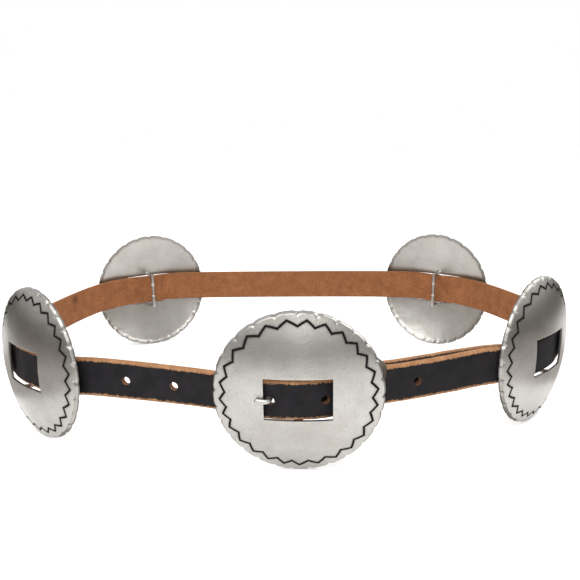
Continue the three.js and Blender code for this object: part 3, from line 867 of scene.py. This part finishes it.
def add_node(tree, kind, **settings):
    node = tree.nodes.new(kind)
    for key, value in settings.items():
        setattr(node, key, value)
    return node


def finish_tree(tree, geometry, output, material):
    """Realizes the instances, sets the material and ends the tree."""
    real = add_node(tree, "GeometryNodeRealizeInstances")
    coloured = add_node(tree, "GeometryNodeSetMaterial")
    coloured.inputs["Material"].default_value = material
    tree.links.new(geometry, real.inputs[0])
    tree.links.new(real.outputs[0], coloured.inputs["Geometry"])
    tree.links.new(coloured.outputs[0], output.inputs[0])


def grown(piece, tree, values):
    """The plain mesh that a tree makes of a piece, with the values given to the tree's named inputs."""
    modifier = piece.modifiers.new("grow", "NODES")
    modifier.node_group = tree
    for item in tree.interface.items_tree:
        if item.in_out == "INPUT" and item.name in values:
            modifier[item.identifier] = values[item.name]
    made = new_object(piece.name + "_mesh", finished_mesh(piece))
    bpy.data.objects.remove(piece)
    return made


def line_object(name, lines):
    """Loose lines of edges through points in millimetres, for a tree to follow."""
    points, edges = [], []
    for line in lines:
        edges += [(len(points) + i, len(points) + i + 1) for i in range(len(line) - 1)]
        points += [tuple(p * MM) for p in line]
    mesh = bpy.data.meshes.new(name)
    mesh.from_pydata(points, edges, [])
    return new_object(name, mesh)


def fibre_tree(material):
    sizes = [("Spacing", "Float", 0.001), ("Length", "Float", 0.001), ("Thickness", "Float", 0.0001)]
    tree, given, output = node_tree("edge_fibres", sizes + [("Seed", "Int", 7)])
    curve = add_node(tree, "GeometryNodeMeshToCurve")
    spots = add_node(tree, "GeometryNodeCurveToPoints", mode="LENGTH")
    hair = add_node(tree, "GeometryNodeMeshCone", fill_type="NGON")
    hair.inputs["Vertices"].default_value = 3
    hair.inputs["Radius Top"].default_value = 0.00001
    way = add_node(tree, "GeometryNodeInputNamedAttribute", data_type="FLOAT_VECTOR")
    way.inputs["Name"].default_value = "way"
    stray = add_node(tree, "FunctionNodeRandomValue", data_type="FLOAT_VECTOR")
    stray.inputs["Min"].default_value = (-0.8, -0.8, -0.8)
    stray.inputs["Max"].default_value = (0.8, 0.8, 0.8)
    lean = add_node(tree, "ShaderNodeVectorMath", operation="ADD")
    aim = add_node(tree, "FunctionNodeAlignRotationToVector", axis="Z")
    size = add_node(tree, "FunctionNodeRandomValue", data_type="FLOAT")
    size.inputs["Min"].default_value = 0.35
    size.inputs["Max"].default_value = 1.0
    place = add_node(tree, "GeometryNodeInstanceOnPoints")
    link = tree.links.new
    link(given.outputs["Geometry"], curve.inputs["Mesh"])
    link(curve.outputs["Curve"], spots.inputs["Curve"])
    link(given.outputs["Spacing"], spots.inputs["Length"])
    link(given.outputs["Thickness"], hair.inputs["Radius Bottom"])
    link(given.outputs["Length"], hair.inputs["Depth"])
    link(given.outputs["Seed"], next(i for i in stray.inputs if i.name == "Seed" and i.enabled))
    link(given.outputs["Seed"], next(i for i in size.inputs if i.name == "Seed" and i.enabled))
    link(next(o for o in way.outputs if o.name == "Attribute" and o.enabled), lean.inputs[0])
    link(next(o for o in stray.outputs if o.enabled), lean.inputs[1])
    link(lean.outputs[0], aim.inputs["Vector"])
    link(spots.outputs["Points"], place.inputs["Points"])
    link(hair.outputs["Mesh"], place.inputs["Instance"])
    link(aim.outputs["Rotation"], place.inputs["Rotation"])
    link(next(o for o in size.outputs if o.enabled), place.inputs["Scale"])
    finish_tree(tree, place.outputs["Instances"], output, material)
    return tree


edge_lines, edge_ways = [], []
for side in (-1, 1):
    line = []
    for station in strap_stations[2:]:
        corner = station["up"] * side * (strap_width / 2) - station["out"] * (strap_thickness / 2 - 0.25)
        line.append(station["point"] + corner)
        edge_ways.append(station["up"] * side - station["out"] * 0.5)
    edge_lines.append(line)
fibre_lines = line_object("edge_fibres", edge_lines)
fibre_ways = fibre_lines.data.attributes.new("way", "FLOAT_VECTOR", "POINT")
fibre_ways.data.foreach_set("vector", np.array(edge_ways).ravel())
fibre_values = {
    "Spacing": fibre_spacing * MM,
    "Length": fibre_length * MM,
    "Thickness": fibre_thickness * MM,
    "Seed": fibre_seed,
}
fibres = grown(fibre_lines, fibre_tree(raw_walls), fibre_values)
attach(fibres, "root")

# The tongue
# A length of polished wire bent round the bar's waist, up through the hole and over the window's edge.
# Geometry Nodes sweep a round section along its path; the tip is filed round.
tongue_overlap = 4.0
wire_sides = 28
fine_steps = 9


def bar_to_tip():
    path = []
    for degrees in range(-170, 91, 26):
        turn = math.radians(degrees)
        path.append((eye_radius * math.cos(turn), eye_radius * math.sin(turn) - bar_setback))
    edge = window_width / 2
    tip = edge + tongue_overlap
    shank = eye_radius - bar_setback
    strap_middle = window_edge - strap_thickness / 2
    rest_at_edge = float(front_at(edge)) + wire_radius
    rest_at_tip = float(front_at(tip)) + wire_radius
    path.append((-prong_reach / 2, shank + clearance))
    path.append((2 * wire_radius - prong_reach, shank + wire_radius))
    path.append((-prong_reach, strap_middle - wire_radius))
    path.append((-prong_reach - clearance, strap_middle + 2 * wire_radius))
    path.append((-prong_reach - wire_radius, rest_at_edge + 0.05))
    path.append((-edge, rest_at_edge + 0.5))
    path.append((-tip, rest_at_tip + 0.15))
    return [Vector((x, -out, 0)) for x, out in path]


def wire_tree(material):
    tree, given, output = node_tree(
        "swept_wire", [("Radius", "Float", 0.001), ("Sides", "Int", 24), ("Tip", "Float", 0.001)]
    )
    curve = add_node(tree, "GeometryNodeMeshToCurve")
    section = add_node(tree, "GeometryNodeCurvePrimitiveCircle", mode="RADIUS")
    length = add_node(tree, "GeometryNodeSplineLength")
    parameter = add_node(tree, "GeometryNodeSplineParameter")
    to_end = add_node(tree, "ShaderNodeMath", operation="SUBTRACT")
    share = add_node(tree, "ShaderNodeMath", operation="DIVIDE", use_clamp=True)
    inside = add_node(tree, "ShaderNodeMath", operation="SUBTRACT")
    inside.inputs[0].default_value = 1.0
    square = add_node(tree, "ShaderNodeMath", operation="MULTIPLY")
    rest = add_node(tree, "ShaderNodeMath", operation="SUBTRACT")
    rest.inputs[0].default_value = 1.0001
    round_end = add_node(tree, "ShaderNodeMath", operation="SQRT")
    sweep = add_node(tree, "GeometryNodeCurveToMesh")
    sweep.inputs["Fill Caps"].default_value = True
    smooth = add_node(tree, "GeometryNodeSetShadeSmooth")
    link = tree.links.new
    link(given.outputs["Geometry"], curve.inputs["Mesh"])
    link(given.outputs["Sides"], section.inputs["Resolution"])
    link(given.outputs["Radius"], section.inputs["Radius"])
    link(length.outputs["Length"], to_end.inputs[0])
    link(parameter.outputs["Length"], to_end.inputs[1])
    link(to_end.outputs[0], share.inputs[0])
    link(given.outputs["Tip"], share.inputs[1])
    link(share.outputs[0], inside.inputs[1])
    link(inside.outputs[0], square.inputs[0])
    link(inside.outputs[0], square.inputs[1])
    link(square.outputs[0], rest.inputs[1])
    link(rest.outputs[0], round_end.inputs[0])
    link(curve.outputs["Curve"], sweep.inputs["Curve"])
    link(section.outputs["Curve"], sweep.inputs["Profile Curve"])
    link(round_end.outputs[0], sweep.inputs["Scale"])
    link(sweep.outputs["Mesh"], smooth.inputs["Geometry"])
    finish_tree(tree, smooth.outputs["Geometry"], output, material)
    return tree


def polished_wire():
    material, tree, shader = new_material("polished_wire")
    place = object_place(tree)
    cloud = noise_node(tree, place, 600, 3)
    tone = ramp_node(tree, cloud, [(0.3, (0.47, 0.46, 0.44)), (0.7, (0.56, 0.55, 0.53))])
    tree.links.new(tone, shader.inputs["Base Color"])
    shader.inputs["Metallic"].default_value = 1.0
    tree.links.new(range_node(tree, cloud, 0.3, 0.7, 0.33, 0.45), shader.inputs["Roughness"])
    tree.links.new(bump_node(tree, cloud, 0.1, 0.0001), shader.inputs["Normal"])
    return material


knots = bar_to_tip()
wire_points = [spline_point(knots, k / fine_steps) for k in range((len(knots) - 1) * fine_steps)]
for share in (0.0, 0.4, 0.65, 0.82, 0.92, 0.97, 1.0):
    wire_points.append(spline_point(knots, len(knots) - 1 - (1 - share) / fine_steps))
wire_line = line_object("tongue_wire", [[places["buckle"] @ p for p in wire_points]])
tongue_values = {"Radius": wire_radius * MM, "Sides": wire_sides, "Tip": wire_radius * MM}
tongue = grown(wire_line, wire_tree(polished_wire()), tongue_values)
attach(tongue, "root")
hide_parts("tongue")

# The keeper
# A loop of thin leather, black on its face with a painted olive sheen of the light from above in its colour,
# and its cut edges brown, glued into a ring round both layers.
# It holds the free end down just behind the buckle's right rim, where only a corner of it shows.
keeper_width = 9.0
keeper_wall = 2.0
keeper_inset = 3.2
keeper_station = station_where(leaving_run, across_buckle, rim_radius - keeper_inset - keeper_width / 2)
keeper_hole = (strap_width / 2 + clearance, strap_thickness + layer_gap / 2 + clearance)


def band_line(grow, corner, steps):
    """A rounded rectangle round the keeper's hole, grown outwards, as (up, out) pairs."""
    half_up, half_out = keeper_hole[0] + grow, keeper_hole[1] + grow
    line = []
    for quarter in range(4):
        side_up = (1, -1, -1, 1)[quarter]
        side_out = (1, 1, -1, -1)[quarter]
        for k in range(steps + 1):
            turn = math.pi / 2 * (quarter + k / steps)
            up = side_up * (half_up - corner) + corner * math.cos(turn)
            out = side_out * (half_out - corner) + corner * math.sin(turn)
            line.append((up, out))
    return line


def keeper_band():
    """The band's rings from its hole over the edge on the right, the face and the edge on the left."""
    steps = 8
    half = keeper_width / 2
    right = [(0.0, 0.5, half - 0.3), (0.3, 0.8, half), (keeper_wall - 0.4, 2.1, half)]
    right += [(keeper_wall - 0.1, 2.4, half - 0.15), (keeper_wall, 2.5, half - 0.5)]
    left = [(grow, corner, -along) for grow, corner, along in reversed(right)]
    skin = left[-1:] + right + left[:-1]
    middle = keeper_station["point"] + keeper_station["out"] * (strap_thickness + layer_gap) / 2
    points = []
    for grow, corner, along in skin:
        for up, out in band_line(grow, corner, steps):
            wobble = 0.12 * noise.noise(Vector((up / 3, out / 3, along / 2)))
            points.append(
                middle
                + keeper_station["up"] * up
                + keeper_station["out"] * (out + wobble * (grow > 1))
                + keeper_station["along"] * (along + wobble)
            )
    count = 4 * (steps + 1)
    finish = [0 if k in (4, 5, 6) else 1 for k in range(len(skin)) for _ in range(count)]
    return points, skin_faces(len(skin), count, closed=True), finish


def keeper_leather():
    material, tree, shader = new_material("keeper_leather")
    place = object_place(tree)
    patches = noise_node(tree, place, 300, 4, 0.65)
    grain = noise_node(tree, place, 1800, 4, 0.7)
    # Painted highlight: the black face is coloured olive-black, the sheen of the light from above, lighter in
    # random patches.
    tone = ramp_node(tree, patches, [(0.3, (0.022, 0.02, 0.014)), (0.72, (0.06, 0.048, 0.026))])
    tree.links.new(tone, shader.inputs["Base Color"])
    tree.links.new(range_node(tree, patches, 0.3, 0.7, 0.5, 0.68), shader.inputs["Roughness"])
    tree.links.new(bump_node(tree, grain, 0.35, 0.0003), shader.inputs["Normal"])
    return material


points, faces, finish = keeper_band()
keeper = mesh_object("leather_keeper", points, faces, [keeper_leather(), raw_walls], finish, 50)
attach(keeper, "root")
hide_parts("keeper")

# The fold's screw
# A two-headed nickel post that closes the fold, turned from rod, with a screwdriver slot in each head.
# It goes through both layers of the fold behind the buckle, out of sight in the photograph.
screw_inner = strap_thickness + 1.5 * clearance
slot_half, slot_floor, slot_length = 0.55, 0.55, 10.0
screw_profile = []
for side in (-1, 1):
    head = [(2.0, screw_inner), (3.7, screw_inner), (3.95, screw_inner + 0.15), (4.0, screw_inner + 0.5)]
    head += [(3.8, screw_inner + 0.78), (3.3, screw_inner + 0.94), (0.05, screw_inner + 1.0)]
    rows = [(radius, side * along) for radius, along in head]
    screw_profile += rows if side == 1 else rows[::-1]


def nickel():
    material, tree, shader = new_material("nickel_screw")
    place = object_place(tree)
    cloud = noise_node(tree, place, 700, 4, 0.6)
    tone = ramp_node(tree, cloud, [(0.3, (0.46, 0.44, 0.4)), (0.7, (0.6, 0.58, 0.54))])
    tree.links.new(tone, shader.inputs["Base Color"])
    shader.inputs["Metallic"].default_value = 1.0
    tree.links.new(range_node(tree, cloud, 0.3, 0.7, 0.28, 0.42), shader.inputs["Roughness"])
    return material


points, faces = turned(screw_profile, 40, lambda a, b, y: screw_place @ Vector((b, y, a)))
nickel_metal = nickel()
screw = mesh_object("fold_post", points, faces, [nickel_metal], None, 40)
for side in (-1, 1):
    groove = sorted((side * (screw_inner + slot_floor), side * (screw_inner + 2)))
    low, high = (-slot_length / 2, groove[0], -slot_half), (slot_length / 2, groove[1], slot_half)
    cut(screw, *box_shape(low, high, screw_place), nickel_metal)
shade_smooth(screw.data, 35)
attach(screw, "root")
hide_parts("fold_screw")

# The studio
# A white paper floor, a large soft light above the camera, a small one in front and a weak one at the right.
# A ring of dark cloth and grey cards on the floor, seen only in the metal, give the domes their dark bands.
floor_material, _, shader = new_material("paper_floor")
shader.inputs["Base Color"].default_value = (0.86, 0.86, 0.86, 1.0)
shader.inputs["Roughness"].default_value = 0.9
shader.inputs["Emission Color"].default_value = (1.0, 1.0, 1.0, 1.0)
shader.inputs["Emission Strength"].default_value = 0.27
floor_size = 3000.0
floor = mesh_object(
    "floor",
    [(x, y, 0) for x in (-floor_size, floor_size) for y in (-floor_size, floor_size)],
    [(0, 2, 3, 1)],
    [floor_material],
)


def show_only_in_metal(card):
    card.visible_camera = False
    card.visible_diffuse = False
    card.visible_shadow = False


dark_cloth, _, shader = new_material("dark_cloth")
shader.inputs["Base Color"].default_value = (0.045, 0.033, 0.022, 1.0)
shader.inputs["Roughness"].default_value = 1.0
flag_radius = 430.0
flag_low, flag_high = 1.0, 105.0
flag_sides = 48
flag_turns = [2 * math.pi * k / flag_sides for k in range(flag_sides)]
flag_points = [
    (flag_radius * math.cos(turn), flag_radius * math.sin(turn), z)
    for z in (flag_low, flag_high)
    for turn in flag_turns
]
flag_faces = [
    (flag_sides + k, flag_sides + (k + 1) % flag_sides, (k + 1) % flag_sides, k) for k in range(flag_sides)
]
flags = mesh_object("dark_flags", flag_points, flag_faces, [dark_cloth])
show_only_in_metal(flags)

grey_card, _, shader = new_material("grey_card")
shader.inputs["Base Color"].default_value = (0.42, 0.4, 0.385, 1.0)
shader.inputs["Roughness"].default_value = 1.0
card_near, card_far = 172.0, 420.0
card_front, card_back = -230.0, 60.0
card_lift = 0.5
card_points = [(x, y, card_lift) for x in (-card_far, -card_near) for y in (card_front, card_back)]
card_points += [(-x, y, z) for x, y, z in card_points]
loop_card_half, loop_card_front, loop_card_back = 120.0, -85.0, 20.0
for x in (-loop_card_half, loop_card_half):
    card_points += [(x, loop_card_front, card_lift), (x, loop_card_back, card_lift)]
cards = mesh_object("grey_cards", card_points, [(0, 2, 3, 1), (4, 5, 7, 6), (8, 10, 11, 9)], [grey_card])
show_only_in_metal(cards)

world = bpy.data.worlds.new("studio")
world.use_nodes = True
bpy.context.scene.world = world
bpy.context.scene.view_settings.view_transform = "Standard"


def studio_air():
    """White paper behind the belt and above it, and a dimmer band of room behind the camera."""
    tree = world.node_tree
    _, ahead, upwards = split_vector(tree, tree.nodes.new("ShaderNodeTexCoord").outputs["Generated"])
    low_stops = [(0.1, (1.0, 1.0, 1.0)), (0.32, (0.95, 0.95, 0.95))]
    high_stops = [(0.45, (0.46, 0.435, 0.4)), (0.8, (0.78, 0.765, 0.74))]
    height = ramp_node(tree, upwards, low_stops + high_stops)
    front = range_node(tree, ahead, -0.15, 0.35, 0.0, 1.0)
    air = mix_colours(tree, front, height, (1.0, 1.0, 1.0))
    background = tree.nodes["Background"]
    tree.links.new(air, background.inputs["Color"])
    background.inputs["Strength"].default_value = 1.0


studio_air()


def soft_light(name, spot, aim, size, power):
    light = bpy.data.lights.new(name, "AREA")
    light.shape = "RECTANGLE"
    light.size, light.size_y = size
    light.energy = power
    lamp = new_object(name, light)
    lamp.location = spot
    lamp.rotation_euler = (Vector(aim) - Vector(spot)).to_track_quat("-Z", "Y").to_euler()


soft_light("key_light", (-0.45, -0.8, 1.2), (0, 0, 0.04), (1.5, 1.0), 18)
soft_light("front_card", (0.05, -1.4, 0.4), (0, -0.1, 0.06), (0.4, 0.16), 0.8)
soft_light("fill_light", (0.8, 0.2, 0.8), (0, 0, 0.04), (0.8, 0.8), 6)

camera_data = bpy.data.cameras.new("camera")
camera_data.lens = 47.2
camera_data.clip_start = 0.01
camera = new_object("camera", camera_data)
camera_spot = Vector((0.6, -437.0, 162.1)) * MM
looking_down = 12.96
camera_tilt = math.radians(90 - looking_down)
camera_roll = math.radians(-0.64)
camera.matrix_world = (
    Matrix.Translation(camera_spot)
    @ Matrix.Rotation(camera_tilt, 4, "X")
    @ Matrix.Rotation(camera_roll, 4, "Z")
)
bpy.context.scene.camera = camera
